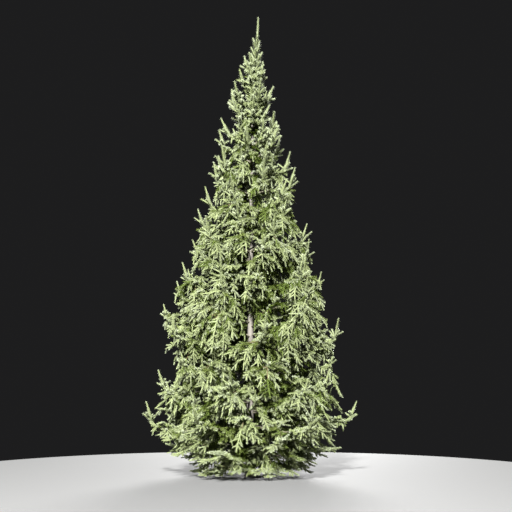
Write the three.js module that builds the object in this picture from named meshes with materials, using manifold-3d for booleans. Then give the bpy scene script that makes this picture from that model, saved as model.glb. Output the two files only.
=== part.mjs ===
// A young spruce, 8.7 m tall, rooted in the ground.
//
// One straight trunk runs from a flat cut at ground level to the tip. The lower crown is five tiers of
// boughs, each bough ending in its own mass of foliage. The upper crown is seven ring-shaped masses, each
// closed round the trunk and nested in the one above, and a leader of foliage over the trunk's tip.
//
// Millimetres, +Z up, origin at the centre of the trunk's flat cut.

import * as THREE from "three";
import { mergeVertices } from "three/addons/utils/BufferGeometryUtils.js";
import Module from "manifold-3d";

const wasm = await Module();
wasm.setup();

// ---- Driving dimensions ----

const TREE_HEIGHT = 8730;
const CROWN_SLOPE = 0.25; // a bough's reach for each millimetre between its foot and the tree's tip
const GAP = 0.3; // the clearance where one piece meets another

const TRUNK_RADIUS = 68;
const TRUNK_TAPER = 0.8; // under 1 keeps the stem full until near its tip
const TRUNK_TOP = TREE_HEIGHT - 110;
const FLARE_RADIUS = 46; // what the root flare adds at the ground
const FLARE_HEIGHT = 150;
const FLARE_RIDGES = 5;
const TRUNK_LEAN = 30; // how far the tip stands to +X of the foot, were the stem straight
const TIP_SWEEP = 130; // the further bend of the top
const TRUNK_SIDES = 10;
const TRUNK_STATIONS = 12;

// The lower tiers, from the ground up. foot: the boughs' height on the trunk. fullness: reach as a share
// of the crown's slope. climb: rise for each millimetre outwards. lift: how far the upturned tip rises.
// turn: the first bough's bearing from +X, in degrees.
const TIERS = [
  { foot: 370, count: 4, turn: 250, fullness: 0.87, climb: -0.01, lift: 190 },
  { foot: 900, count: 6, turn: 2, fullness: 1.02, climb: 0, lift: 430 },
  { foot: 1570, count: 5, turn: 184, fullness: 0.96, climb: 0.02, lift: 300 },
  { foot: 2280, count: 5, turn: -6, fullness: 1.03, climb: 0.06, lift: 470 },
  { foot: 2980, count: 5, turn: 176, fullness: 0.99, climb: 0.12, lift: 410 },
];
const LOWEST_HANG = 80; // the clear height under the lowest tier's foliage

const RING_COUNT = 7;
const RING_FIRST = 3390; // the lowest ring's height on the trunk
const RING_STEP = 733; // up to the next ring, less RING_STEP_LOSS for each ring above
const RING_STEP_LOSS = 20;
const RING_FULLNESS = 0.97;
const RING_CLIMB = 0.2; // rise for each millimetre outwards, and RING_CLIMB_GAIN more for each ring above
const RING_CLIMB_GAIN = 0.07;
const RING_LOBES = 5;
const RING_HOLLOW = 0.24; // how far the rim falls back between its lobes
const RING_PEAK = 0.22; // how much higher the rim stands at a lobe, as a share of the ring's depth
const RING_MARGIN = 12; // left free above and below a ring

const LEADER_FOOT = TREE_HEIGHT - 620;
const LEADER_RADIUS = 78;

const BOUGH_RADIUS = 24; // at the foot of the longest bough
const BOUGH_TAPER = 0.6; // the radius left where it enters the foliage
const BOUGH_SAG = 0.03; // how far the middle of a bough hangs, as a share of its reach
const BOUGH_SIDES = 6;
const BOUGH_STEPS = 3;
const BOUGH_END = 0.3; // where the bough ends, inside the mass, as a share of its reach
const SHORTEST = 0.06; // the most that one bough falls short of the next in its tier
const STRAY = 2.2; // how many degrees a bough strays from its even place

const MASS_INNER = 0.13; // where a mass starts, as a share of its bough's reach
const MASS_WIDTH = 0.92; // a mass's widest spread, as a share of its sector
const MASS_DEPTH = 1.1; // a mass's greatest depth, as a share of the way to the next tier's middle
const MASS_LUMP = 0.16; // how deep the hollows in a mass's surface are
const MASS_SQUARENESS = 3.6; // 2 is a round section, and more fills its corners
const MASS_SIDES = 10;
const MASS_STATIONS = 9;

const BARK = new THREE.MeshStandardMaterial({ color: 0x9c9388, roughness: 0.9, metalness: 0 });
const FOLIAGE = new THREE.MeshStandardMaterial({ color: 0x91a062, roughness: 0.7, metalness: 0 });

// ---- Solids ----

// Moves each vertex of a geometry by a function that changes the vector it is given.
function deform(geometry, move) {
  const position = geometry.getAttribute("position");
  const vertex = new THREE.Vector3();
  for (let i = 0; i < position.count; i++) {
    move(vertex.fromBufferAttribute(position, i));
    position.setXYZ(i, vertex.x, vertex.y, vertex.z);
  }
  return geometry;
}

// An upright lathe, turned about +Z.
function turned(profile, sides) {
  const points = profile.map(([r, z]) => new THREE.Vector2(r, z));
  return new THREE.LatheGeometry(points, sides).rotateX(Math.PI / 2);
}

function solidOf(geometry) {
  const bare = new THREE.BufferGeometry().setAttribute("position", geometry.getAttribute("position"));
  if (geometry.index) bare.setIndex(geometry.index);
  const merged = mergeVertices(bare, 1e-3);
  return new wasm.Manifold(
    new wasm.Mesh({
      numProp: 3,
      vertProperties: merged.attributes.position.array,
      triVerts: new Uint32Array(merged.index.array),
    }),
  );
}

function geometryOf(solid) {
  const mesh = solid.getMesh();
  const geometry = new THREE.BufferGeometry();
  geometry.setAttribute("position", new THREE.BufferAttribute(mesh.vertProperties, 3));
  geometry.setIndex(new THREE.BufferAttribute(mesh.triVerts, 1));
  return geometry;
}

// A smooth unevenness from 0 to 1 over a direction, different for each seed.
function unevenness(v, seed) {
  const a = Math.sin(3.1 * v.x + 2.3 * v.y + 1.9 * seed);
  const b = Math.sin(4.3 * v.y - 2.9 * v.z + 2.7 * seed);
  const c = Math.sin(3.7 * v.z + 2.1 * v.x - 1.3 * seed);
  return 0.5 + (a + b + c) / 6;
}

// ---- Trunk ----

function trunkCentre(z) {
  const t = z / TREE_HEIGHT;
  return new THREE.Vector3(TRUNK_LEAN * t + TIP_SWEEP * t ** 6, 18 * Math.sin(5 * t), z);
}

function trunkRadius(z) {
  return TRUNK_RADIUS * (1 - z / TREE_HEIGHT) ** TRUNK_TAPER + FLARE_RADIUS * Math.exp(-z / FLARE_HEIGHT);
}

// A stem along the trunk's line from one height to another, with its cuts level. The profile is a
// function of height, and flare ridges stand out near the ground.
function stemGeometry(from, to, radiusAt) {
  const profile = [[0, from]];
  for (let i = 0; i <= TRUNK_STATIONS; i++) {
    const z = from + (to - from) * (i / TRUNK_STATIONS) ** 1.6; // closer together at the flare
    profile.push([radiusAt(z), z]);
  }
  profile.push([0, to]);
  return deform(turned(profile, TRUNK_SIDES), (v) => {
    const bearing = Math.atan2(v.y, v.x);
    const ridge = 1 + 0.16 * Math.exp(-v.z / FLARE_HEIGHT) * Math.cos(FLARE_RIDGES * bearing);
    const centre = trunkCentre(v.z);
    v.set(centre.x + v.x * ridge, centre.y + v.y * ridge, v.z);
  });
}

const trunkGeometry = stemGeometry(0, TRUNK_TOP, trunkRadius);
const trunkClearance = stemGeometry(-GAP, TRUNK_TOP + GAP, (z) => trunkRadius(Math.max(z, 0)) + GAP);

// The trunk with its clearance, as seen from a piece's own frame.
function trunkCutter(frame) {
  return solidOf(trunkClearance.clone().applyMatrix4(frame.clone().invert()));
}

// ---- Boughs and their masses, in a frame with +X along the bough and its foot at the origin ----

// The height of the bough's line above its foot, at a share s of its reach.
function boughRise(tier, reach, s) {
  return tier.climb * reach * s - BOUGH_SAG * reach * Math.sin(Math.PI * s) + tier.lift * s ** 5;
}

// A tapering limb from the trunk's middle to a share of the reach, or the socket that clears it.
function boughGeometry(tier, reach, clearance) {
  const foot = BOUGH_RADIUS * (reach / (CROWN_SLOPE * TREE_HEIGHT)) ** 0.5;
  const profile = [new THREE.Vector2(0, 0)];
  for (let i = 0; i <= BOUGH_STEPS; i++) {
    const t = i / BOUGH_STEPS;
    profile.push(new THREE.Vector2(foot * (1 + (BOUGH_TAPER - 1) * t) + clearance, t));
  }
  profile.push(new THREE.Vector2(0, 1));
  return deform(new THREE.LatheGeometry(profile, BOUGH_SIDES), (v) => {
    const s = BOUGH_END * v.y + (clearance / reach) * (v.y > 0.99 ? 1 : 0);
    const slope = (boughRise(tier, reach, s + 0.01) - boughRise(tier, reach, s)) / (0.01 * reach);
    const tilt = Math.atan(slope);
    v.set(s * reach - v.z * Math.sin(tilt), -v.x, boughRise(tier, reach, s) + v.z * Math.cos(tilt));
  });
}

// Foliage along a bough: blunt near the trunk, full in the middle, and drawn out to an upturned point. It
// spreads over the bough's sector, fills the space above and below, and is hollowed unevenly.
function massGeometry(tier, reach, above, below, seed) {
  const spread = (MASS_WIDTH * Math.PI) / tier.count;
  const profile = [new THREE.Vector2(0, 0)];
  for (let i = 1; i < MASS_STATIONS; i++) {
    const t = i / MASS_STATIONS;
    profile.push(new THREE.Vector2(Math.sin(Math.PI * t ** 1.3) ** 0.4, t));
  }
  profile.push(new THREE.Vector2(0, 1));
  return deform(new THREE.LatheGeometry(profile, MASS_SIDES), (v) => {
    const s = MASS_INNER + (1 - MASS_INNER) * v.y;
    const side = new THREE.Vector3(2 * v.y - 1, -v.x, v.z); // along, across and up, each from -1 to 1
    const full = (1 - MASS_LUMP * unevenness(side, seed)) * squared(side.y, side.z);
    const bearing = side.y * full * spread;
    const z = boughRise(tier, reach, s) + side.z * full * (side.z > 0 ? above : below);
    v.set(s * reach * Math.cos(bearing), s * reach * Math.sin(bearing), z);
  });
}

// What a point of a round section is moved outwards by to give the section fuller corners.
function squared(y, z) {
  const n = MASS_SQUARENESS;
  const square = (Math.abs(y) ** n + Math.abs(z) ** n) ** (1 / n);
  return square > 0 ? Math.hypot(y, z) / square : 1;
}

// ---- Rings of foliage and the leader, about the trunk's line ----

// The outline, as [share of the reach, share of the depth]: flat below, an upturned rim, and a top that the
// next ring nests in. Both faces climb outwards, and the rim stands out in lobes.
const RING_OUTLINE = [
  [0, 0],
  [0.5, -0.02],
  [0.88, 0.04],
  [1, 0.58],
  [0.8, 0.76],
  [0.54, 0.99],
  [0, 1],
];

function ringGeometry(reach, depth, climb, seed) {
  return deform(turned(RING_OUTLINE, 3 * RING_LOBES), (v) => {
    const out = Math.hypot(v.x, v.y);
    const bearing = Math.atan2(v.y, v.x) + (seed * Math.PI) / RING_LOBES;
    const hollow = (RING_HOLLOW / 2) * (1 - Math.cos(RING_LOBES * bearing)) + 0.08 * unevenness(v, seed);
    const r = out * reach * (1 - hollow * out);
    const peak = RING_PEAK * Math.max(0, Math.cos(RING_LOBES * bearing)) * out ** 8;
    v.set(v.x * (r / (out || 1)), v.y * (r / (out || 1)), (v.z + peak) * depth + climb * r);
  });
}

// The outline, as [share of the radius, share of the height]: a foot that clears the top ring, and a spire.
const LEADER_OUTLINE = [
  [0, 0],
  [1, 0.13],
  [0.95, 0.3],
  [0.6, 0.45],
  [0.42, 0.85],
  [0, 1],
];

function leaderGeometry() {
  const height = TREE_HEIGHT - LEADER_FOOT;
  const outline = LEADER_OUTLINE.map(([r, t]) => [r * LEADER_RADIUS, LEADER_FOOT + t * height]);
  return deform(turned(outline, 8), (v) => {
    const centre = trunkCentre(v.z);
    v.set(centre.x + v.x, centre.y + v.y, v.z);
  });
}

// ---- The tree ----

const tree = new THREE.Group();

function addMesh(parent, name, geometry, material) {
  const mesh = new THREE.Mesh(geometry, material);
  mesh.name = name;
  parent.add(mesh);
}

function addTier(tier, index) {
  const next = TIERS[index + 1]?.foot ?? RING_FIRST + 0.7 * (RING_FIRST - tier.foot);
  const above = ((next - tier.foot) / 2) * MASS_DEPTH;
  const below = index > 0 ? ((tier.foot - TIERS[index - 1].foot) / 2) * MASS_DEPTH : 0;
  for (let j = 0; j < tier.count; j++) {
    const seed = (index + 1) * 7 + j;
    const turn = tier.turn + (360 / tier.count) * j + STRAY * Math.sin(4.1 * seed);
    const shortfall = j === 0 ? 0 : (SHORTEST / 2) * (1 + Math.sin(2.6 * seed));
    const reach = CROWN_SLOPE * (TREE_HEIGHT - tier.foot) * tier.fullness * (1 - shortfall);
    const hang = below || tier.foot - BOUGH_SAG * reach - LOWEST_HANG;
    const frame = new THREE.Group();
    frame.position.copy(trunkCentre(tier.foot));
    frame.rotation.z = THREE.MathUtils.degToRad(turn);
    frame.updateMatrix();
    const bough = solidOf(boughGeometry(tier, reach, 0)).subtract(trunkCutter(frame.matrix));
    const socket = solidOf(boughGeometry(tier, reach, GAP));
    const mass = solidOf(massGeometry(tier, reach, above, hang, seed)).subtract(socket);
    addMesh(frame, `bough_${index + 1}_${j + 1}`, geometryOf(bough), BARK);
    addMesh(frame, `foliage_${index + 1}_${j + 1}`, geometryOf(mass), FOLIAGE);
    tree.add(frame);
  }
}

function addRings() {
  let foot = RING_FIRST;
  for (let i = 0; i < RING_COUNT; i++) {
    const step = RING_STEP - RING_STEP_LOSS * i;
    const reach = CROWN_SLOPE * (TREE_HEIGHT - foot) * RING_FULLNESS;
    const frame = new THREE.Group();
    frame.position.copy(trunkCentre(foot + RING_MARGIN));
    frame.updateMatrix();
    const climb = RING_CLIMB + RING_CLIMB_GAIN * i;
    const whole = solidOf(ringGeometry(reach, step - 2 * RING_MARGIN, climb, i + 1));
    const ring = whole.subtract(trunkCutter(frame.matrix));
    addMesh(frame, `foliage_ring_${i + 1}`, geometryOf(ring), FOLIAGE);
    tree.add(frame);
    foot += step;
  }
}

addMesh(tree, "trunk", trunkGeometry, BARK);
TIERS.forEach(addTier);
addRings();
const leader = solidOf(leaderGeometry()).subtract(solidOf(trunkClearance));
addMesh(tree, "foliage_leader", geometryOf(leader), FOLIAGE);

export default tree;
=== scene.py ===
import math

import bmesh
import bpy
import numpy as np
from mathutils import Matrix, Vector


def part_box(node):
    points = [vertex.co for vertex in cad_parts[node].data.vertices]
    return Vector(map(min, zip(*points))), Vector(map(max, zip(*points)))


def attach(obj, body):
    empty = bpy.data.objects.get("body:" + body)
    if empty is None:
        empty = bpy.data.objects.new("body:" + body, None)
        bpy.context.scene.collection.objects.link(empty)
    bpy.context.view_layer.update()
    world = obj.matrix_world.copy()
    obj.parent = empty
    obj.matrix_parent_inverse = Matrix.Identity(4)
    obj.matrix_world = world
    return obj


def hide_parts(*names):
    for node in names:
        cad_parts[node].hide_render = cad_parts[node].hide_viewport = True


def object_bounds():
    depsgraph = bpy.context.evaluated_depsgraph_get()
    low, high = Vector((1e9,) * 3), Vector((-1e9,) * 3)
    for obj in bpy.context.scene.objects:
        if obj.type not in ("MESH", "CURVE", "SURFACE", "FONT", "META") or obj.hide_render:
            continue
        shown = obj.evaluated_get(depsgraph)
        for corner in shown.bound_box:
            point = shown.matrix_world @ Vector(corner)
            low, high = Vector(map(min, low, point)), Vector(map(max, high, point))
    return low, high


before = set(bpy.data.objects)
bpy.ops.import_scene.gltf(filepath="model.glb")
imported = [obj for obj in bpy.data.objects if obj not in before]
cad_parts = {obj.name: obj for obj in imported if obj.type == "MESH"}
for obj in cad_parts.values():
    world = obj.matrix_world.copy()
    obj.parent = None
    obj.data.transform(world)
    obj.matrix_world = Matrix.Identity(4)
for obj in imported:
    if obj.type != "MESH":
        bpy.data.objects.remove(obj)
cad_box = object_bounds()
chance = np.random.default_rng(31)  # random draws come from here, in order; each mottle has its own seed

# ---- Trunk ----
# One straight young stem, living wood under thin pinkish-grey bark that flakes in small scales. It swells
# into a ridged root flare at the ground, and a collar stands round it at each whorl of boughs.

SAME = 1e-3  # points nearer than this in height, or to the middle, count as level or as the middle


def corners(node):
    """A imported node's points, in metres."""
    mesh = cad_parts[node].data
    points = np.empty(3 * len(mesh.vertices), np.float32)
    mesh.vertices.foreach_get("co", points)
    return points.reshape(-1, 3).astype(float)


def levels(points):
    """The points of a stem grouped by height: each level's height, centre and mean radius."""
    rows = []
    for height in np.unique(points[:, 2].round(4)):
        ring = points[abs(points[:, 2] - height) < SAME]
        centre = (ring[:, :2].min(axis=0) + ring[:, :2].max(axis=0)) / 2
        rim = np.hypot(*(ring[:, :2] - centre).T)
        rows.append((height, *centre, rim[rim > SAME].mean()))
    return np.array(rows)


stem = levels(corners("trunk"))


def stem_at(height):
    """The trunk's centre at a height, and its radius there."""
    x, y, radius = (np.interp(height, stem[:, 0], stem[:, i]) for i in (1, 2, 3))
    return x, y, radius


# The boughs stand in whorls: five tiers of limbs low down, then a whorl to each ring of the upper crown.
LOWER_TIERS = 5
RINGS = 7
AT_TRUNK = 0.02  # a limb's points nearer than this to the trunk are its foot
RIM = 0.62  # how far up its ring a tip stands, below peaks that only the outermost needles reach
RING_RISE = 0.56  # from a limb's foot to its tip in the upper crown
YOUNGEST_WHORL = 0.55  # from the top ring's feet to the youngest whorl


def limbs_of(tier):
    """The names of a lower tier's limbs."""
    return sorted(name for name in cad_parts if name.startswith(f"bough_{tier}_"))


def limb_span(limb):
    """How far each point of a limb stands from the middle of the trunk, and the height of its foot."""
    x, y, radius = stem_at(limb[:, 2])
    span = np.hypot(limb[:, 0] - x, limb[:, 1] - y)
    return span, limb[span < radius + AT_TRUNK, 2].mean()


def ring_tip(ring):
    """The height of the boughs' tips in a ring of the upper crown."""
    low, high = (float(corner[2]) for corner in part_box(f"foliage_ring_{ring}"))
    return low + RIM * (high - low)


whorl_feet = [limb_span(corners(limbs_of(tier)[-1]))[1] for tier in range(1, LOWER_TIERS + 1)]
whorl_feet += [ring_tip(ring) - RING_RISE for ring in range(1, RINGS + 1)]
whorl_feet.append(whorl_feet[-1] + YOUNGEST_WHORL)


def mottle(points, wavelength, seed, waves=24):
    """A smooth random field over points, from about -1 to 1, with lumps of about the wavelength."""
    rng = np.random.default_rng(seed)
    directions = rng.normal(size=(waves, 3))
    directions *= (2 * math.pi / wavelength) / np.linalg.norm(directions, axis=1, keepdims=True)
    phases = rng.uniform(0, 2 * math.pi, waves)
    return np.cos(points @ directions.T + phases).sum(axis=1) / math.sqrt(waves)


SCALE_SIZE = 0.030
SCALE_RELIEF = 0.0028  # how far a bark scale stands out of the stem
SCALE_STRETCH = (1, 1, 0.55)  # the scales stand taller than they are wide
SCALE_EDGE = 0.35  # how wide the sunk edges between the scales are
WAVE_SIZE = 0.24
WAVE_RELIEF = 0.003  # how far the stem swells and sinks in long waves
FLARE_HEIGHT = 0.15
FLARE_RIDGES = 5
RIDGE = 0.16  # how far a root ridge stands out, as a share of the stem's radius
COLLAR = 0.007  # how far the stem swells at a whorl
COLLAR_HEIGHT = 0.035
FULL_RELIEF = 0.05  # the relief fades where the stem is thinner than this
LEAST_RELIEF = 0.15
TRUNK_ROWS = 430
ROWS_CLOSE_UP = 1.35  # the rows stand closer near the ground
TRUNK_SIDES = 56
SCALE_DRAW, WAVE_DRAW = 3, 4


def flakes(points):
    """Bark scales: flat plates of about one size with sunk edges between them, from 0 to 1."""
    plates = abs(mottle(points * SCALE_STRETCH, SCALE_SIZE * 2, SCALE_DRAW))
    return np.clip(plates / SCALE_EDGE, 0, 1)


def trunk_points():
    """Rows of points up the stem, from the ground to the tip, with flare ridges, collars and scales."""
    height = stem[-1, 0] * (np.arange(TRUNK_ROWS) / (TRUNK_ROWS - 1)) ** ROWS_CLOSE_UP
    bearing = np.arange(TRUNK_SIDES) * 2 * math.pi / TRUNK_SIDES
    z, a = (grid.ravel() for grid in np.meshgrid(height, bearing, indexing="ij"))
    x, y, radius = stem_at(z)
    ridge = RIDGE * np.exp(-z / FLARE_HEIGHT) * np.cos(FLARE_RIDGES * a)
    swell = sum(COLLAR * np.exp(-(((z - foot) / COLLAR_HEIGHT) ** 2)) for foot in whorl_feet)
    around = np.stack((np.cos(a), np.sin(a), z * 0), axis=1)
    skin = np.stack((x, y, z), axis=1) + around * radius[:, None]
    relief = SCALE_RELIEF * flakes(skin) + WAVE_RELIEF * mottle(skin, WAVE_SIZE, WAVE_DRAW)
    fade = np.clip(radius / FULL_RELIEF, LEAST_RELIEF, 1)
    return skin + around * (radius * ridge + swell * fade + relief * fade)[:, None]


def tube_faces(rows, sides):
    """Quads of a tube laid out as rows of points round it."""
    row, side = np.meshgrid(np.arange(rows - 1), np.arange(sides), indexing="ij")
    after = (side + 1) % sides
    low, high = row * sides, (row + 1) * sides
    return np.stack((low + side, low + after, high + after, high + side), -1).reshape(-1, 4)


def mesh_piece(name, points, faces, materials, shades=None, smooth=True):
    """A mesh object from arrays of points and of equal faces, with a material index for each face."""
    count, sides = faces.shape
    mesh = bpy.data.meshes.new(name)
    mesh.vertices.add(len(points))
    mesh.vertices.foreach_set("co", np.ascontiguousarray(points, np.float32).ravel())
    mesh.loops.add(count * sides)
    mesh.loops.foreach_set("vertex_index", np.ascontiguousarray(faces, np.int32).ravel())
    mesh.polygons.add(count)
    mesh.polygons.foreach_set("loop_start", np.arange(0, count * sides, sides, dtype=np.int32))
    mesh.polygons.foreach_set("loop_total", np.full(count, sides, np.int32))
    mesh.polygons.foreach_set("use_smooth", np.full(count, smooth))
    for material in materials:
        mesh.materials.append(material)
    if shades is not None:
        mesh.polygons.foreach_set("material_index", np.ascontiguousarray(shades, np.int32))
    mesh.update(calc_edges=True)
    mesh.validate()
    piece = bpy.data.objects.new(name, mesh)
    bpy.context.scene.collection.objects.link(piece)
    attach(piece, "root")
    return piece


PLATE_CONTRAST = 2.4
CLOUD_SHARE = 0.22  # how coarse the clouds in the bark's colour are beside its plates
CLOUD_DETAIL = 6
DARK_BELOW, LIGHT_ABOVE = 0.3, 0.8
BARK_BUMP = 0.5
BARK_BUMP_DEPTH = 0.003
BARK_ROUGHNESS = 0.85


def bark_material(name, light, dark, plates_in_a_metre):
    """Matt bark: plates of a light colour over a darker ground, rough, with a fine flaked bump."""
    material = bpy.data.materials.new(name)
    material.use_nodes = True
    nodes, links = material.node_tree.nodes, material.node_tree.links
    shader = nodes["Principled BSDF"]
    place = nodes.new("ShaderNodeTexCoord")
    plates = nodes.new("ShaderNodeTexVoronoi")
    plates.feature = "DISTANCE_TO_EDGE"
    plates.inputs["Scale"].default_value = plates_in_a_metre
    cloud = nodes.new("ShaderNodeTexNoise")
    cloud.inputs["Scale"].default_value = plates_in_a_metre * CLOUD_SHARE
    cloud.inputs["Detail"].default_value = CLOUD_DETAIL
    mix = nodes.new("ShaderNodeMath")
    mix.operation = "MULTIPLY_ADD"
    mix.inputs[1].default_value = PLATE_CONTRAST
    tone = nodes.new("ShaderNodeValToRGB")
    tone.color_ramp.elements[0].position = DARK_BELOW
    tone.color_ramp.elements[0].color = (*dark, 1)
    tone.color_ramp.elements[1].position = LIGHT_ABOVE
    tone.color_ramp.elements[1].color = (*light, 1)
    bump = nodes.new("ShaderNodeBump")
    bump.inputs["Strength"].default_value = BARK_BUMP
    bump.inputs["Distance"].default_value = BARK_BUMP_DEPTH
    links.new(place.outputs["Object"], plates.inputs["Vector"])
    links.new(place.outputs["Object"], cloud.inputs["Vector"])
    links.new(plates.outputs["Distance"], mix.inputs[0])
    links.new(cloud.outputs["Fac"], mix.inputs[2])
    links.new(mix.outputs[0], tone.inputs["Fac"])
    links.new(tone.outputs["Color"], shader.inputs["Base Color"])
    links.new(mix.outputs[0], bump.inputs["Height"])
    links.new(bump.outputs["Normal"], shader.inputs["Normal"])
    shader.inputs["Roughness"].default_value = BARK_ROUGHNESS
    return material


PINKISH_GREY, DARK_GREY = (0.128, 0.116, 0.098), (0.053, 0.046, 0.038)
trunk_bark = bark_material("trunk_bark", PINKISH_GREY, DARK_GREY, plates_in_a_metre=42)
trunk = mesh_piece("trunk_bark", trunk_points(), tube_faces(TRUNK_ROWS, TRUNK_SIDES), [trunk_bark])
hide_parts("trunk")

# ---- Boughs ----
# The main limbs leave the trunk in whorls, sag a little under their own weight, and turn up at the end
# into a strong leading shoot. Lesser ones stand between the whorls. They are the same wood and bark as
# the trunk, only thinner and smoother.

UP = Vector((0, 0, 1))
RING_LOBES = 5
NEEDLES_PAST = 0.03  # how far the last needles stand past the end of a shoot
LEAD_STEEP = (64, 80)  # a leading shoot's slope, in degrees
LOW_LEAD_STEEP = (4, 26)  # the same in the lowest tier, which lies along the ground
KNEE = (12, 30)  # a bough's slope where its leading shoot starts
SWING = 0.035  # how far a bough curves sideways at most, as a share of its reach
PULL = 0.42  # a bough holds its slope at the trunk over this share of its reach
LIFT = 0.74  # and starts to turn up at this one
boughs = []  # the main ones first


def add_bough(group, foot_z, bearing, tip_spread, tip_z, slope, lead, main, first=True):
    """One bough: its mass's number, its foot on the trunk, how far out and how high its tip stands from
    there, its slope at the trunk, and the length, steepness and sideways swing of its leading shoot."""
    x, y, _ = stem_at(foot_z)
    boughs.append(
        dict(
            group=group,
            foot=Vector((x, y, foot_z)),
            out=Vector((math.cos(bearing), math.sin(bearing), 0)),
            reach=float(tip_spread),
            rise=float(tip_z - foot_z),
            slope=float(slope),
            lead=float(lead),
            steep=math.radians(chance.uniform(*(LEAD_STEEP if group > 1 else LOW_LEAD_STEEP))),
            knee=math.radians(chance.uniform(*KNEE)),
            swing=chance.uniform(-SWING, SWING),
            main=main,
            first=first,
        )
    )


def along(bough, u):
    """The point of a bough at a share u of the way from the trunk to the foot of its leading shoot."""
    u = float(u)
    lead, out = bough["lead"], bough["out"]
    far = bough["reach"] - lead * math.cos(bough["steep"])
    high = bough["rise"] - lead * math.sin(bough["steep"])
    start, end = Vector((0, 0)), Vector((far, high))
    pull = Vector((PULL * far, bough["slope"] * PULL * far))
    lift = Vector((LIFT * far, high - (1 - LIFT) * far * math.tan(bough["knee"])))
    w = 1 - u
    point = w**3 * start + 3 * w * w * u * pull + 3 * w * u * u * lift + u**3 * end
    side = Vector((-out.y, out.x, 0)) * bough["swing"] * far * math.sin(math.pi * u)
    return bough["foot"] + out * point.x + side + Vector((0, 0, point.y))


def spread_and_bearing(point):
    """How far a point lies from the trunk, and in which direction."""
    x, y, _ = stem_at(point[2])
    return math.hypot(point[0] - x, point[1] - y), math.atan2(point[1] - y, point[0] - x)


APART = 0.6  # the cosine of the least angle between two tips of a ring


def furthest(points, count):
    """The points that lie furthest from the trunk, each well apart from the others in bearing."""
    x, y, _ = stem_at(points[:, 2])
    found = []
    for point in points[np.argsort(-np.hypot(points[:, 0] - x, points[:, 1] - y))]:
        bearing = spread_and_bearing(point)[1]
        if all(math.cos(bearing - spread_and_bearing(other)[1]) < APART for other in found):
            found.append(point)
        if len(found) == count:
            break
    return found


# The 25 main limbs of the lower crown, each out to its own mass's tip.
LIMB_END = 0.03  # a limb's points nearer than this to its furthest one are its end
LEAD_LENGTH = (0.32, 0.44)
SAG = 0.05
outline = []  # height and spread of the crown's tips, from the ground up
for tier in range(1, LOWER_TIERS + 1):
    for name in limbs_of(tier):
        limb = corners(name)
        span, foot_z = limb_span(limb)
        end = limb[span > span.max() - LIMB_END].mean(axis=0)
        slope = max(-SAG, (end[2] - foot_z) / span.max() + SAG)
        tip = furthest(corners(name.replace("bough", "foliage")), 1)[0]
        spread, bearing = spread_and_bearing(tip)
        lead = chance.uniform(*LEAD_LENGTH)
        add_bough(tier, foot_z, bearing, spread - NEEDLES_PAST, tip[2], slope, lead, True)
    outline.append((tip[2], np.mean([b["reach"] for b in boughs if b["group"] == tier])))

# The main limbs of the upper crown, five to a whorl, out to the lobes of each ring of foliage.
TOP_SHARE = 0.56  # the top whorl is a year younger, and shorter
PAST_LOBE = 0.09  # how far the lowest ring's limbs reach past its lobes, less this much for each ring up:
PAST_LOBE_LESS = 0.03
SHORT_LIMB, LONG_LIMB = 0.4, 1.2
SHORT_SLOPE, LONG_SLOPE = 0.75, 0.25  # short limbs leave the trunk more steeply
RING_LEAD = (0.36, 0.46)
LEAD_LEAST, LEAD_GAINS = 0.65, 0.45  # a short limb's lead is shorter too
for ring in range(1, RINGS + 1):
    tip_z = ring_tip(ring)
    share = 1 if ring < RINGS else TOP_SHARE
    for tip in furthest(corners(f"foliage_ring_{ring}"), RING_LOBES):
        spread, bearing = spread_and_bearing(tip)
        spread = spread * share + max(0, PAST_LOBE - PAST_LOBE_LESS * ring)
        slope = float(np.interp(spread, (SHORT_LIMB, LONG_LIMB), (SHORT_SLOPE, LONG_SLOPE)))
        lead = chance.uniform(*RING_LEAD) * min(1, LEAD_LEAST + LEAD_GAINS * spread)
        add_bough(LOWER_TIERS + ring, tip_z - RING_RISE, bearing, spread, tip_z, slope, lead, True)
    outline.append((tip_z, spread))

TREE_TOP = float(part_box("foliage_leader")[1][2])
SKIRT = 0.68  # the crown's spread at the ground, as a share of its full spread
SKIRT_HEIGHTS = (0.08, 0.55)  # and the heights between which it widens from one to the other
outline.append((TREE_TOP, 0.0))
tip_heights, tip_spreads = zip(*outline)


def spread_at(height):
    """How far the crown's tips reach from the trunk at a height."""
    spread = float(np.interp(height, tip_heights, tip_spreads))
    return spread * float(np.interp(height, SKIRT_HEIGHTS, (SKIRT, 1)))


HOLLOW_SIZE = 0.9  # from one hollow of the crown's face to the next
HOLLOW_STRETCH = (1, 1, 0.5)  # the hollows stand taller than they are wide
HOLLOW_DRAW = 1972
HOLLOW_FROM, HOLLOW_RISE = 0.2, 0.6  # the lump at which a hollow starts, and from there to its deepest
HOLLOW_DEPTH = 0.5  # how far the face falls back there, as a share of the crown's spread
BESIDE_TRUNK = ((0.52, 3.3, 0.2), (0.4, 2.85, 0.28))  # two more, on the open side: side, height and size
BESIDE_FADE = 1.5


def hollow_at(point):
    """How deep a hollow of the crown's face a point stands in: 0 out on the face, and up to 1."""
    lump = mottle(np.array([point]) * HOLLOW_STRETCH, HOLLOW_SIZE, HOLLOW_DRAW)[0]
    depth = (lump - HOLLOW_FROM) / HOLLOW_RISE
    if point[1] < 0:
        for side, height, size in BESIDE_TRUNK:
            near = math.hypot(point[0] - side, point[2] - height) / size
            depth = max(depth, 2 - BESIDE_FADE * near)
    return float(np.clip(depth, 0, 1))


# Lesser boughs stand between the main ones of each whorl, part of the way up to the whorl above.
SHARE_VARIES, ANGLE_VARIES, TIP_VARIES = 0.07, 0.12, 0.06
SIZE_VARIES = (0.92, 1.03)
LEAST_SPREAD = 0.12
BOUGH_FALLS_BACK = 0.6  # how much of a hollow's depth a bough keeps out of
LESSER_LEAD = 0.75
LEAD_VARIES = (0.8, 1.0)
STEEPER = 0.06
WIDER_FROM, NARROWER_FROM = 4, 9  # the masses from which lesser boughs reach further, and less far


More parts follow.
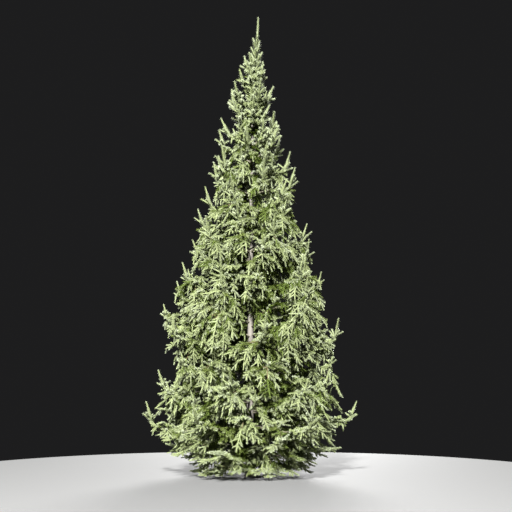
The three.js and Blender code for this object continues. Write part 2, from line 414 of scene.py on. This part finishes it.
def fill_whorl(group, share, angle, size, main=False):
    """A bough between each two main ones of a whorl, at a share of the way up to the whorl above and a
    share of the angle between them, its reach a size times the crown's spread there."""
    low, high = whorl_feet[group - 1], whorl_feet[group]
    tip_low, tip_high = tip_heights[group - 1], tip_heights[group]
    mates = [b for b in boughs if b["group"] == group and b["first"]]
    for mate in mates:
        part = share + chance.uniform(-SHARE_VARIES, SHARE_VARIES)
        turn = 2 * math.pi / len(mates) * (angle + chance.uniform(-ANGLE_VARIES, ANGLE_VARIES))
        bearing = math.atan2(mate["out"].y, mate["out"].x) + turn
        tip_z = tip_low + part * (tip_high - tip_low) + chance.uniform(-TIP_VARIES, TIP_VARIES)
        spread = max(LEAST_SPREAD, spread_at(tip_z) * size * chance.uniform(*SIZE_VARIES))
        out = Vector((math.cos(bearing), math.sin(bearing), 0))
        tip = mate["foot"] + out * spread + UP * (tip_z - mate["foot"].z)
        spread *= 1 - BOUGH_FALLS_BACK * HOLLOW_DEPTH * hollow_at(tip)
        lead = mate["lead"] * (1 if main else LESSER_LEAD) * chance.uniform(*LEAD_VARIES)
        foot_z = low + part * (high - low)
        add_bough(group, foot_z, bearing, spread, tip_z, mate["slope"] + STEEPER, lead, main, False)


for group in range(1, LOWER_TIERS + 1):
    fill_whorl(group, share=0.34, angle=0.5, size=1.0 if group < WIDER_FROM else 1.08)
    fill_whorl(group, share=0.68, angle=0.2, size=0.87)
for group in range(LOWER_TIERS + 1, LOWER_TIERS + RINGS):
    fill_whorl(group, share=0.5, angle=0.5, size=1.02, main=True)
    fill_whorl(group, share=0.76, angle=0.2, size=0.84 if group < NARROWER_FROM else 0.7)

BOUGH_SIDES = 7
BOUGH_ROWS = 16
BOUGH_FOOT = 0.0165  # a main bough's radius at the trunk, for each square root of a metre of its reach
LESSER_FOOT = 0.6  # a lesser one's, as a share of that
BOUGH_TAPER = 0.8
BOUGH_END = 0.0015
BOUGH_COLLAR = 0.5  # how much thicker a bough is where it meets the trunk
BOUGH_COLLAR_LENGTH = 0.06
BOUGH_RELIEF = 0.09
BOUGH_SCALE_SIZE = 0.05
BOUGH_DRAW = 11


def bough_radius(bough, u):
    foot = BOUGH_FOOT * math.sqrt(bough["reach"]) * (1 if bough["main"] else LESSER_FOOT)
    return foot * (1 - BOUGH_TAPER * u) + BOUGH_END


def rings_round(heading, sides):
    """Unit circles square to each heading, as points for each."""
    side = np.cross(heading, (0.0, 0.0, 1.0))
    side /= np.linalg.norm(side, axis=1, keepdims=True)
    up = np.cross(side, heading)
    a = np.arange(sides) * 2 * math.pi / sides
    return np.cos(a)[None, :, None] * side[:, None] + np.sin(a)[None, :, None] * up[:, None]


def bough_mesh():
    """All the limbs as one mesh: tapering tubes, thicker in a collar at the trunk, with scales of bark."""
    points, faces = [], []
    quads = tube_faces(BOUGH_ROWS, BOUGH_SIDES)
    shares = np.linspace(0, 1, BOUGH_ROWS)
    for number, bough in enumerate(boughs):
        line = np.array([along(bough, u) for u in shares])
        heading = np.gradient(line, axis=0)
        heading /= np.linalg.norm(heading, axis=1, keepdims=True)
        collar = [1 + BOUGH_COLLAR * math.exp(-u * bough["reach"] / BOUGH_COLLAR_LENGTH) for u in shares]
        radii = np.array([bough_radius(bough, u) * swell for u, swell in zip(shares, collar)])
        skin = (line[:, None] + rings_round(heading, BOUGH_SIDES) * radii[:, None, None]).reshape(-1, 3)
        middle = np.repeat(line, BOUGH_SIDES, axis=0)
        relief = 1 + BOUGH_RELIEF * mottle(skin, BOUGH_SCALE_SIZE, BOUGH_DRAW)
        points.append(middle + (skin - middle) * relief[:, None])
        faces.append(quads + number * BOUGH_ROWS * BOUGH_SIDES)
    return np.concatenate(points), np.concatenate(faces)


OLIVE_BROWN, DARK_OLIVE = (0.11, 0.10, 0.065), (0.05, 0.045, 0.028)
bough_bark = bark_material("bough_bark", OLIVE_BROWN, DARK_OLIVE, plates_in_a_metre=90)
limbs = mesh_piece("bough_bark", *bough_mesh(), [bough_bark])
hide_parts(*(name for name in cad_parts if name.startswith("bough_")))

# ---- Twigs ----
# Each bough carries side branches left and right, in flat fans that hang lower down the tree and reach
# up near its top. The side branches carry one-year shoots. All of them are thin, brown where old and
# green where young.

GROUND_CLEAR = 0.075  # the lowest shoots turn along the ground at this height
STILL_FALLS = 0.2  # how much of its fall a shoot keeps there
PAST = 0.04  # how far a shoot may end past the solid crown
STRIDE = 0.084  # between one pair of shoots and the next
SHOOT_CORE = 0.0125  # radius of a shoot's twig with the crowded feet of its needles
CORE_END = 0.6  # how thin it is at its end
LEADING, OUTER, MIDDLE, INNER = 1.0, 1.3, 2.6, 3.7  # how deep a green each kind of shoot has: new growth on the outside paler, inner shoots deeper as older needles and as painted shade
HOLLOW_SHADE_DEEPER = 3.4  # and how much deeper a green is painted in a hollow, as painted shade
SHADED = 2.2  # a shoot of a deeper green than this has a twig of the shaded kind, its colour darkened as painted shade
HANGING_BELOW, UPRIGHT_ABOVE = 4.8, 6.5  # the crown turns from hanging to upright between these heights
UPPER_LARGER = 1.24  # the shoots near the top are stouter
shoots = []  # start, end, group, tone, needle scale, whether it ends a branch
twigs = []  # start, end, radius at each end, shade: old wood, young, or young with painted shade


def twig(start, end, thick, thin, shade=0):
    twigs.append((start, end, thick, thin, shade))


def shoot(start, end, group, tone, scale=1.0, terminal=True):
    """A run of twig with needles on it."""
    scale *= float(np.interp(start.z, (HANGING_BELOW, UPRIGHT_ABOVE), (1, UPPER_LARGER)))
    shoots.append((start, end, group, tone, scale, terminal))
    core = SHOOT_CORE * scale
    twig(start, end, core, core * (CORE_END if terminal else 1), 1 + (tone > SHADED))


# Between some whorls the crown stands open on one side, straight out and up to the light, and the trunk
# shows there.
OPENINGS = ((1.15, 1.36), (2.42, 2.78), (3.85, 4.05))  # their heights
OPENING_WIDTH = 0.12
TO_THE_LIGHT = (-0.15, 0.58)  # how far an opening leans to the side and climbs, for each metre out


def in_opening(point):
    x, y, _ = stem_at(point.z)
    far = y - point.y
    if far < 0:
        return False
    for side, climb in ((0, 0), TO_THE_LIGHT):
        z = point.z - climb * far
        beside = abs(point.x - x - side * far) < OPENING_WIDTH / 2
        if beside and any(low < z < high for low, high in OPENINGS):
            return True
    return False


def held(point):
    """The point, held off the ground and back from the crown's widest bounds."""
    x, y = (float(np.clip(point[i], cad_box[0][i] - PAST, cad_box[1][i] + PAST)) for i in (0, 1))
    low = GROUND_CLEAR - point.z
    return Vector((x, y, point.z if low < 0 else GROUND_CLEAR + STILL_FALLS * low))


def side_shoot(start, end, group, tone, scale=1.0):
    end = held(end)
    if not in_opening(end) and not in_opening((start + end) / 2):
        shoot(start, end, group, tone, scale)


def bent(heading, toward, amount):
    return (heading + toward * amount).normalized()


def bow(start, pull, end, u):
    """A point on a curve that leaves one point towards another and ends at a third."""
    return start * (1 - u) ** 2 + pull * 2 * u * (1 - u) + end * u * u


TWIG_END = 0.003  # a bare twig's radius where its needles start
TWIG_TAPER = 0.006  # and how much it gains for each metre back from there
TIP_PALER = 0.7  # how much paler than its spray a spray's tip is
PALER_AT = (4.2, 6)  # above these heights sprays deepen more towards their foot, as painted shade
FOOT_AGE_AND_SHADE = (1.8, 2.6)  # how much deeper the foot is than the tip, at those heights: older needles, and painted shade inside the crown
UPRIGHT = 0.05  # a branch nearer upright than this has no left or right
FAN_ROLL = 0.35
SIDE_ANGLE = (26, 54)
SIDE_WANDERS = 0.2
SIDE_LENGTH = (0.09, 0.165)
SIDE_AT_TIP, SIDE_GAINS = 0.75, 0.45  # side shoots are longer towards a spray's foot


def spray(start, pull, end, clad, group, tone):
    """A branch bowed from start to end, with needles and pairs of side shoots on its clad length."""
    length = (pull - start).length / 2 + (end - pull).length / 2 + (end - start).length / 2
    steps = max(2, round(length / STRIDE))
    line = [held(bow(start, pull, end, i / steps)) for i in range(steps + 1)]
    if any(in_opening(point) for point in line):
        return
    for i, (point, after) in enumerate(zip(line, line[1:])):
        from_end = length * (steps - i) / steps
        if from_end > clad + STRIDE:
            thick = TWIG_END + TWIG_TAPER * from_end
            twig(point, after, thick, thick - TWIG_TAPER * length / steps)
            continue
        back = min(1, from_end / clad)
        # a spray's foot is a deeper green than its tip: older needles, and painted shade
        shade = tone - TIP_PALER + float(np.interp(point.z, PALER_AT, FOOT_AGE_AND_SHADE)) * back
        shoot(point, after, group, shade, 1.0, i == steps - 1)
        heading = (after - point).normalized()
        across = heading.cross(UP)
        across = across.normalized() if across.length > UPRIGHT else Vector((1, 0, 0))
        across = bent(across, UP, chance.uniform(-FAN_ROLL, FAN_ROLL))
        if i == steps - 1:
            continue
        for flip in (-1, 1):
            spread = math.radians(chance.uniform(*SIDE_ANGLE))
            out = heading * math.cos(spread) + across * flip * math.sin(spread)
            out = bent(out, Vector(chance.normal(size=3)), SIDE_WANDERS)
            size = chance.uniform(*SIDE_LENGTH) * (SIDE_AT_TIP + SIDE_GAINS * back)
            side_shoot(point, point + out * size, group, shade)


MAIN_LEAD_STOUT, LESSER_LEAD_STOUT = 2.1, 1.7
LEAD_JOINTS = (0.35, 0.7)  # a leading shoot bends a little at each
LEAD_TAPER = (1.05, 0.85, 0.62)
LEAD_BENDS = 0.008
LEAD_SAGS = 0.01
WHISKER_SIDES = (-1.3, 1.3)  # where round a lead its short shoots stand, in radians from straight out
WHISKER_FRONT = 0.5
WHISKER_BACKS = (math.pi, -2.2, 2.2)
UPPER_WHISKERS = 4  # the leads near the top have fewer
WHISKER_ANGLE = (42, 66)
WHISKER_FROM = 0.3  # they start within this share of the lead's length
WHISKER_LENGTH = (0.34, 0.5)
WHISKER_STOUT = 1.25


def leading_shoot(bough, start, tip):
    """The strong upright shoot at a bough's end, with a few short ones in a ring round its foot."""
    group, out, length = bough["group"], bough["out"], bough["lead"]
    tip = held(tip)
    bend = Vector((*chance.normal(size=2) * LEAD_BENDS, -LEAD_SAGS))
    stout = MAIN_LEAD_STOUT if bough["main"] else LESSER_LEAD_STOUT
    first, second = LEAD_JOINTS
    joints = (start, start.lerp(tip, first) + bend, start.lerp(tip, second) + bend * second, tip)
    for i, taper in enumerate(LEAD_TAPER):
        shoot(joints[i], joints[i + 1], group, LEADING, stout * taper, i == 2)
    heading = (tip - start).normalized()
    side = UP.cross(out)
    turns = (*WHISKER_SIDES, chance.uniform(-WHISKER_FRONT, WHISKER_FRONT), *WHISKER_BACKS)
    for turn in turns if start.z < HANGING_BELOW else turns[:UPPER_WHISKERS]:
        spread = math.radians(chance.uniform(*WHISKER_ANGLE))
        away = (side * math.sin(turn) + out * math.cos(turn)).normalized()
        foot = start + heading * length * chance.uniform(0, WHISKER_FROM)
        lean = heading * math.cos(spread) + away * math.sin(spread)
        whisker = lean * length * chance.uniform(*WHISKER_LENGTH)
        side_shoot(foot, foot + whisker, group, LEADING, WHISKER_STOUT)


FALL_HEIGHTS = (0.02, 0.12, 0.22, 0.62, 0.76, 0.84, 0.95)  # as shares of the tree's height
FALLS = (0.1, 0.65, 1, 0.95, 0.4, -0.2, -0.7)


def fall_at(height):
    """How much sprays hang at a height: 1 where they hang most, below 0 where they reach up."""
    return float(np.interp(height / TREE_TOP, FALL_HEIGHTS, FALLS))


NEAR = 0.02  # a bough's heading is taken between two points this near, as a share of its length


def heading_at(bough, u):
    return (along(bough, min(u + NEAR, 1)) - along(bough, u - NEAR)).normalized()


CURTAIN_SPRAYS = 5.2  # for each metre of bough
CURTAIN_FROM, CURTAIN_SHARE = 0.94, 0.58  # they hang from this share of the bough back over this much
FAN_AT_TIP, FAN_WIDENS, FAN_WIDEST = 0.07, 0.42, 0.36
FAN_VARIES = (0.5, 1.1)
FAN_FORWARD = (0.02, 0.12)
HANG = (0.18, 0.5)
SHORT_HANG, FULL_HANG_FROM = 0.6, 0.4  # sprays hang less near the bough's end
OUTER_WITHIN = 0.5  # of a bough's end
CURTAIN_CLAD = 0.5
CURTAIN_GAP_VARIES = (0.2, 0.8)
CURTAIN_BOW = 0.75  # a hanging spray runs this share of its way sideways before it falls
TONE_VARIES = 0.35
BARE_HOLLOW = 0.55  # no curtain hangs in a hollow deeper than this
HOLLOWS_END = 6.4  # the height at which they end


def curtain(bough, length):
    """The sprays that hang to both sides of a bough's outer half."""
    fall = fall_at(bough["foot"].z)
    count = max(2, round(length * CURTAIN_SPRAYS))
    for i in range(count):
        u = CURTAIN_FROM - CURTAIN_SHARE * (i + chance.uniform(*CURTAIN_GAP_VARIES)) / count
        from_end = (1 - u) * length
        start, heading = along(bough, u), heading_at(bough, u)
        side = heading.cross(UP).normalized() * (1 if i % 2 else -1)
        sideways = side * min(FAN_WIDEST, FAN_AT_TIP + FAN_WIDENS * from_end) * chance.uniform(*FAN_VARIES)
        forward = heading * chance.uniform(*FAN_FORWARD)
        shorter = float(np.interp(from_end, (0, FULL_HANG_FROM), (SHORT_HANG, 1)))
        down = UP * fall * chance.uniform(*HANG) * shorter
        # shoots further back from the bough's end get a deeper green, partly painted shade
        tone = (OUTER if from_end < OUTER_WITHIN else MIDDLE) + chance.normal(0, TONE_VARIES)
        pull = start + sideways * CURTAIN_BOW + forward
        end = start + sideways + forward - down
        if hollow_at(end) < BARE_HOLLOW or end.z > HOLLOWS_END:
            spray(start, pull, end, CURTAIN_CLAD, bough["group"], tone)


BOUGH_CLAD = 0.62  # the share of a bough that carries needles itself
BOUGH_STRIDE = 0.11
BRUSHY_STEPS = 6  # the last steps of a bough carry side shoots too
BOUGH_STOUT = 1.1
AWAY, AWAY_RISES, AWAY_LENGTH = (0.7, 1.1), (-0.3, 0.2), (0.11, 0.17)
ABOVE_FORWARD = 0.9
ABOVE_SWINGS, ABOVE_RISES, ABOVE_LENGTH = 0.5, (0.4, 0.9), (0.09, 0.13)


def dress(bough):
    """The shoots that a bough carries itself: needles on its outer part, short shoots on top, a pair of
    side shoots at each step near its end, and its leading shoot."""
    group = bough["group"]
    knee = along(bough, 1)
    length = (knee - along(bough, 0)).length
    steps = max(2, round(BOUGH_CLAD * length / BOUGH_STRIDE))
    for i in range(steps):
        u, after = (1 - BOUGH_STRIDE * (steps - k) / length for k in (i, i + 1))
        point, heading = along(bough, u), heading_at(bough, u)
        side = heading.cross(UP).normalized()
        brushy = steps - i <= BRUSHY_STEPS
        # the inner part of a bough gets the deepest green, partly painted shade
        shoot(point, along(bough, after), group, OUTER if brushy else INNER, BOUGH_STOUT, False)
        if not brushy:
            continue
        for flip in (-1, 1):
            away = bent(heading + side * flip * chance.uniform(*AWAY), UP, chance.uniform(*AWAY_RISES))
            side_shoot(point, point + away * chance.uniform(*AWAY_LENGTH), group, OUTER)
        if bough["main"]:
            swung = heading * ABOVE_FORWARD + side * chance.uniform(-ABOVE_SWINGS, ABOVE_SWINGS)
            above = bent(swung, UP, chance.uniform(*ABOVE_RISES))
            side_shoot(point, point + above * chance.uniform(*ABOVE_LENGTH), group, OUTER)
    curtain(bough, length)
    steep = bough["steep"]
    lead = (bough["out"] * math.cos(steep) + UP * math.sin(steep)) * bough["lead"]
    leading_shoot(bough, knee, knee + lead)


for bough in boughs:
    dress(bough)

# More sprays fill the crown's face between the boughs: wherever light falls on it, a branch has grown out
# to it from the nearest bough.
ROOM_HEIGHTS = (0.9, 1.4, 1.8, 2.2, 2.6, 3.2, 4.2, 5.2)
LEAD_ROOM = (0.1, 0.26, 0.36, 0.14, 0.08, 0.12, 0.2, 0.33)  # how far leads stand out of the face there
LEAST_FACE = 0.3  # and the least share of the crown's spread that the face keeps
FACE_FLATTENS = (5.4, 7.2)  # the hollows grow shallower between these heights,
FLAT_SHARE = 0.3  # down to this share of their depth
STEEPEST_FALL = -70
SLOPE_VARIES = 12
ROOM_TO_GROW = 0.36  # how far from its bough a spray likes to end
OFF_LINE = 0.9  # how much a spray minds ending beside its bough rather than ahead of it
SPRAY_CLAD = (0.36, 0.54)
SPRAY_BOW, BOW_SHARE = 0.3, 0.55
BRANCHES_FROM, BRANCH_PLACES = 0.2, 14  # a bough can branch at this many places, from this share of it out
limb_points, limb_groups = [], []
for bough in boughs:
    for u in np.linspace(BRANCHES_FROM, 1, BRANCH_PLACES):
        limb_points.append(along(bough, u))
        limb_groups.append(bough["group"])
limb_array = np.array(limb_points)


def face_at(height):
    spread = spread_at(height)
    room = float(np.interp(height, ROOM_HEIGHTS, LEAD_ROOM))
    return max(spread - room, LEAST_FACE * spread)


def face_spot(height, bearing, share):
    """A point at a share of the way out to the crown's face, which falls back in its hollows."""
    x, y, _ = stem_at(height)
    reach = face_at(height) * share
    out = Vector((math.cos(bearing), math.sin(bearing), 0))
    foot = Vector((x, y, height))
    depth = HOLLOW_DEPTH * float(np.interp(height, FACE_FLATTENS, (1, FLAT_SHARE)))
    return foot + out * reach * (1 - depth * hollow_at(foot + out * reach))


def grow_spray(end, kind):
    """A spray out to a point of the crown's face, from the bough that suits it best."""
    # a shoot in a hollow of the face gets a deeper green as painted shade
    tone = kind + HOLLOW_SHADE_DEEPER * hollow_at(end)
    x, y, _ = stem_at(end.z)
    out = Vector((end.x - x, end.y - y, 0)).normalized()
    slope = math.radians(STEEPEST_FALL * fall_at(end.z) + chance.normal(0, SLOPE_VARIES))
    heading = out * math.cos(slope) + UP * math.sin(slope)
    apart = np.array(end) - limb_array
    distance = np.linalg.norm(apart, axis=1)
    ahead = apart @ np.array(heading)
    choice = int(np.argmin(abs(distance - ROOM_TO_GROW) + OFF_LINE * (distance - ahead)))
    clad = chance.uniform(*SPRAY_CLAD)
    pull = end - heading * min(SPRAY_BOW, BOW_SHARE * float(distance[choice]))
    spray(limb_points[choice], pull, end, clad, limb_groups[choice], tone + chance.normal(0, TONE_VARIES))


FACE_FROM = 0.1
LEADER_ROOM = 1.0  # the leader's own shoots clothe the last metre
SPRAY_GAP = 0.27
ROW_TURN = 2.4  # each row of sprays starts this far round from the one below
FACE_VARIES = (0.9, 1.06)
ROUND_VARIES, UP_VARIES = 0.3, 0.4  # how far a spray strays from its place, as shares of the gap


def fill_face():
    """Sprays all over the crown's face, one for each gap along and up it."""
    height, turn = FACE_FROM, 0.0
    while height < TREE_TOP - LEADER_ROOM:
        count = max(3, round(2 * math.pi * face_at(height) / SPRAY_GAP))
        turn += ROW_TURN
        for i in range(count):
            bearing = turn + 2 * math.pi * (i + chance.uniform(-ROUND_VARIES, ROUND_VARIES)) / count
            z = height + chance.uniform(-UP_VARIES, UP_VARIES) * SPRAY_GAP
            grow_spray(face_spot(z, bearing, chance.uniform(*FACE_VARIES)), OUTER)
        height += SPRAY_GAP


fill_face()

THIN_FROM = 0.15
THIN_TO = TREE_TOP - 2
THIN_GAP = 0.2
THIN_NEAR = 0.19
ROW_SHARE = 0.87  # from row to row, as a share of the gap


def thin_spots(share, enough):
    """Places at a share of the way out to the face, a gap apart, with too few metres of shoot near them."""
    middles = np.array([(s[0] + s[1]) / 2 for s in shoots])
    lengths = np.array([(s[1] - s[0]).length for s in shoots])
    spots = []
    height, turn = THIN_FROM, 0.0
    while height < THIN_TO:
        reach = face_at(height) * share
        count = max(4, round(2 * math.pi * reach / THIN_GAP))
        turn += ROW_TURN
        for i in range(count):
            spot = face_spot(height, turn + 2 * math.pi * i / count, share)
            near = np.linalg.norm(middles - np.array(spot), axis=1) < THIN_NEAR
            if lengths[near].sum() < enough:
                spots.append(spot)
        height += THIN_GAP * ROW_SHARE
    return spots


# sprays further inside the face get deeper greens, partly as painted shade
for share, kind, enough in ((0.88, OUTER, 2.0), (0.66, MIDDLE, 2.0), (0.4, INNER, 1.5)):
    for spot in thin_spots(share, enough):
        grow_spray(spot, kind)

# The tree's own leader, with the shoots of its youngest whorl standing close round its foot.
LEADER_GROUP = LOWER_TIERS + RINGS + 1
LEADER_STEPS = 14
LEADER_LENGTH = 1.8
LEADER_STOUT, LEADER_THINS = 2.4, 0.1
YOUNGEST_SHOOTS = 16
YOUNGEST_FROM, YOUNGEST_OVER = 0.37, 0.33  # the shares of the leader where they stand
YOUNGEST_LENGTH = (0.27, 0.33)
YOUNGEST_SHORTENS = 0.4  # the higher ones are shorter,
YOUNGEST_OUT, YOUNGEST_CLOSES, YOUNGEST_RISES = 0.6, 0.35, 0.9  # and stand closer to the leader
YOUNGEST_STOUT = 1.4
FIRST_TURN = 0.5


def leader_at(share):
    height = TREE_TOP - NEEDLES_PAST - LEADER_LENGTH * (1 - share)
    return Vector((*stem_at(height)[:2], height))


for i in range(LEADER_STEPS):
    low, high = leader_at(i / LEADER_STEPS), leader_at((i + 1) / LEADER_STEPS)
    mass = LEADER_GROUP if low.z > TREE_TOP - LEADER_ROOM else LOWER_TIERS + RINGS
    shoot(low, high, mass, LEADING, LEADER_STOUT - LEADER_THINS * i, i == LEADER_STEPS - 1)
for i in range(YOUNGEST_SHOOTS):
    share = i / YOUNGEST_SHOOTS
    foot = leader_at(YOUNGEST_FROM + YOUNGEST_OVER * share)
    turn = i * ROW_TURN + FIRST_TURN
    away = Vector((math.cos(turn), math.sin(turn), 0))
    rising = bent(away * (YOUNGEST_OUT - YOUNGEST_CLOSES * share), UP, YOUNGEST_RISES)
    size = chance.uniform(*YOUNGEST_LENGTH) * (1 - YOUNGEST_SHORTENS * share)
    side_shoot(foot, foot + rising * size, LEADER_GROUP, LEADING, YOUNGEST_STOUT)

ASKEW = (0.31, 0.17, 0.93)  # a direction that no shoot runs along
PRISM = np.array([(0, 1, 4, 3), (1, 2, 5, 4), (2, 0, 3, 5)])  # the three sides of a twig


def square_to(heading):
    """Two directions square to each heading and to each other."""
    side = np.cross(heading, ASKEW)
    side /= np.linalg.norm(side, axis=1, keepdims=True)
    return side, np.cross(side, heading)


def twig_mesh(chosen):
    """The chosen twigs as thin three-sided prisms."""
    start = np.array([t[0] for t in chosen])
    end = np.array([t[1] for t in chosen])
    radius = np.array([(t[2], t[3]) for t in chosen])
    heading = end - start
    heading /= np.linalg.norm(heading, axis=1, keepdims=True)
    side, up = square_to(heading)
    turn = np.arange(3) * 2 * math.pi / 3
    ring = np.cos(turn)[None, :, None] * side[:, None] + np.sin(turn)[None, :, None] * up[:, None]
    low, high = start[:, None] + ring * radius[:, :1, None], end[:, None] + ring * radius[:, 1:, None]
    points = np.concatenate((low, high), axis=1).reshape(-1, 3)
    faces = (PRISM[None] + 6 * np.arange(len(chosen))[:, None, None]).reshape(-1, 4)
    return points, faces, np.repeat([t[4] for t in chosen], 3)


FAINT_SHINE = 0.06


def plain_material(name, color, roughness):
    material = bpy.data.materials.new(name)
    material.use_nodes = True
    shader = material.node_tree.nodes["Principled BSDF"]
    shader.inputs["Base Color"].default_value = (*color, 1)
    shader.inputs["Roughness"].default_value = roughness
    shader.inputs["Specular IOR Level"].default_value = FAINT_SHINE
    return material


CROWN_MIDDLE = 2.6  # the twigs below and above this height are two pieces
# twig_shaded is the young twig's colour darkened as painted shade
TWIG_SHADES = [
    plain_material("twig_brown", (0.085, 0.07, 0.035), 0.8),
    plain_material("twig_young", (0.165, 0.19, 0.09), 0.7),
    plain_material("twig_shaded", (0.05, 0.07, 0.014), 0.7),
]
low_twigs = [t for t in twigs if t[0].z < CROWN_MIDDLE]
high_twigs = [t for t in twigs if t[0].z >= CROWN_MIDDLE]
for name, chosen in (("twigs_low", low_twigs), ("twigs_high", high_twigs)):
    points, faces, shades = twig_mesh(chosen)
    piece = mesh_piece(name, points, faces, TWIG_SHADES, shades, smooth=False)

# ---- Needles ----
# Short stiff needles stand all round each shoot, pointing forwards, and close over its end in a soft
# tip. New shoots are pale yellow-green and older ones a deeper green, and shoots inside the crown and in
# its hollows get deeper greens still as painted shade, so each shoot is one tint.

NEEDLE_ROUGHNESS = 0.65
TINTS = [
    plain_material("needles_pale_tip", (0.248, 0.275, 0.184), NEEDLE_ROUGHNESS),
    plain_material("needles_pale", (0.23, 0.26, 0.157), NEEDLE_ROUGHNESS),
    plain_material("needles_fresh", (0.168, 0.199, 0.086), NEEDLE_ROUGHNESS),
    # needles_mid and needles_deep clothe the shoots inside the crown and in its hollows, partly as painted
    # shade; needles_deep is near black
    plain_material("needles_mid", (0.080, 0.101, 0.026), NEEDLE_ROUGHNESS),
    plain_material("needles_deep", (0.018, 0.027, 0.001), NEEDLE_ROUGHNESS),
]
TINT_VARIES = 0.42
NEEDLES = 800_000
FEWEST_NEEDLES = 6  # on one shoot
DENSE, THINNER = 1.15, 0.16  # deeper shoots carry fewer needles for their length
NEEDLE_LENGTH = 0.023
NEEDLE_WIDTH = 0.0125
LENGTH_VARIES = (0.78, 1.14)
NEEDLE_FOOT = 0.008  # how far a needle's foot stands from the middle of its shoot
INNER_FROM = 2  # the tone from which a shoot is an inner one
INNER_LARGER = 1.35  # the shaded needles inside are fewer and larger, and close the crown behind
GOLDEN_TURN = math.radians(137.508)
ANY_TURN = 6.3  # radians
TIP_SHARE = 1.16  # the needles past 1 all stand at a shoot's end and round it off
LEAN, LEAN_VARIES = 53, 10  # degrees between a needle and its shoot
CLOSES = 48  # how many degrees of it are lost over the shoot's tip
TIP_SHORTER = 0.3

start = np.array([s[0] for s in shoots])
end = np.array([s[1] for s in shoots])
group = np.array([s[2] for s in shoots])
tone = np.array([s[3] for s in shoots]) + chance.normal(0, TINT_VARIES, len(shoots))
tint = np.clip(tone.round(), 0, len(TINTS) - 1).astype(int)
scale = np.array([s[4] for s in shoots])
terminal = np.array([s[5] for s in shoots])
span = np.linalg.norm(end - start, axis=1)
weight = span * scale * (DENSE - THINNER * np.clip(tone, 0, len(TINTS) - 1))
needles_each = np.maximum(FEWEST_NEEDLES, (NEEDLES * weight / weight.sum()).astype(int))
scale[tone > INNER_FROM] *= INNER_LARGER


def needle_mesh(chosen):
    """The needles of the chosen shoots, one slender face each, wound round their shoots."""
    each = needles_each[chosen]
    which = np.repeat(chosen, each)
    order = np.arange(each.sum()) - np.repeat(np.cumsum(each) - each, each)
    along_shoot = (order + chance.random(len(order))) / needles_each[which]
    along_shoot *= np.where(terminal[which], TIP_SHARE, 1)
    heading = (end - start)[which] / span[which, None]
    side, up = square_to(heading)
    turn = order * GOLDEN_TURN + chance.uniform(0, ANY_TURN, len(start))[which]
    out = np.cos(turn)[:, None] * side + np.sin(turn)[:, None] * up
    closing = np.clip((along_shoot - 1) / (TIP_SHARE - 1), 0, 1)
    lean = np.radians(LEAN - CLOSES * closing + chance.normal(0, LEAN_VARIES, len(order)))
    size = NEEDLE_LENGTH * scale[which] * (1 - TIP_SHORTER * closing)
    size *= chance.uniform(*LENGTH_VARIES, len(order))
    place = start[which] + heading * (span[which] * np.minimum(along_shoot, 1))[:, None]
    foot = place + out * (NEEDLE_FOOT * scale[which] * (1 - closing))[:, None]
    point = foot + (heading * np.cos(lean)[:, None] + out * np.sin(lean)[:, None]) * size[:, None]
    across = np.cross(heading, out) * (NEEDLE_WIDTH / 2)
    return np.stack((foot - across, foot + across, point), axis=1).reshape(-1, 3), tint[which]


masses = {tier: (f"tier_{tier}", f"foliage_{tier}_") for tier in range(1, LOWER_TIERS + 1)}
masses |= {LOWER_TIERS + ring: (f"ring_{ring}", f"foliage_ring_{ring}") for ring in range(1, RINGS + 1)}
masses[LEADER_GROUP] = ("leader", "foliage_leader")
for number, (name, nodes) in masses.items():
    points, shades = needle_mesh(np.flatnonzero(group == number))
    faces = np.arange(len(points)).reshape(-1, 3)
    piece = mesh_piece(f"needles_{name}", points, faces, TINTS, shades, smooth=False)
    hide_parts(*(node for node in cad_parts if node.startswith(nodes)))

# ---- Floor, light and camera ----
# The tree stands on a plain pale floor in an open studio. The key light is far off, high in front and a
# little to the left, with a broad weak one low behind the tree. The camera is at a person's eye height.

FLOOR_RADIUS = 6.5
floor_mesh = bpy.data.meshes.new("floor")
disc = bmesh.new()
bmesh.ops.create_circle(disc, cap_ends=True, segments=96, radius=FLOOR_RADIUS)
disc.to_mesh(floor_mesh)
disc.free()
floor_mesh.materials.append(plain_material("floor_pale", (0.125, 0.125, 0.123), 0.9))
floor = bpy.data.objects.new("floor", floor_mesh)
bpy.context.scene.collection.objects.link(floor)

CROWN = Vector((0, 0, 4))  # where both lights aim


def area_light(name, place, size, power):
    lamp = bpy.data.lights.new(name, "AREA")
    lamp.size = size
    lamp.energy = power
    light = bpy.data.objects.new(name, lamp)
    light.location = place
    light.rotation_euler = (CROWN - Vector(place)).to_track_quat("-Z", "Y").to_euler()
    bpy.context.scene.collection.objects.link(light)


area_light("key", place=(-5, -33.5, 22), size=3.0, power=105000)
area_light("back", place=(1.5, 17, 5.5), size=5, power=9000)

world = bpy.data.worlds.new("studio")
world.use_nodes = True
world.node_tree.nodes["Background"].inputs["Color"].default_value = (0.025, 0.025, 0.026, 1)
world.node_tree.nodes["Background"].inputs["Strength"].default_value = 0.5
bpy.context.scene.world = world

EYE_HEIGHT = 1.6
DISTANCE = 17.1
ASIDE = 0.11
LOOKS_UP = 8.1
camera_data = bpy.data.cameras.new("camera")
camera_data.lens = 64.8
camera_data.sensor_width = 36
camera = bpy.data.objects.new("camera", camera_data)
camera.location = (ASIDE, -DISTANCE, EYE_HEIGHT)
camera.rotation_euler = (math.radians(90 + LOOKS_UP), 0, 0)
bpy.context.scene.collection.objects.link(camera)
bpy.context.scene.camera = camera
bpy.context.scene.view_settings.view_transform = "Standard"
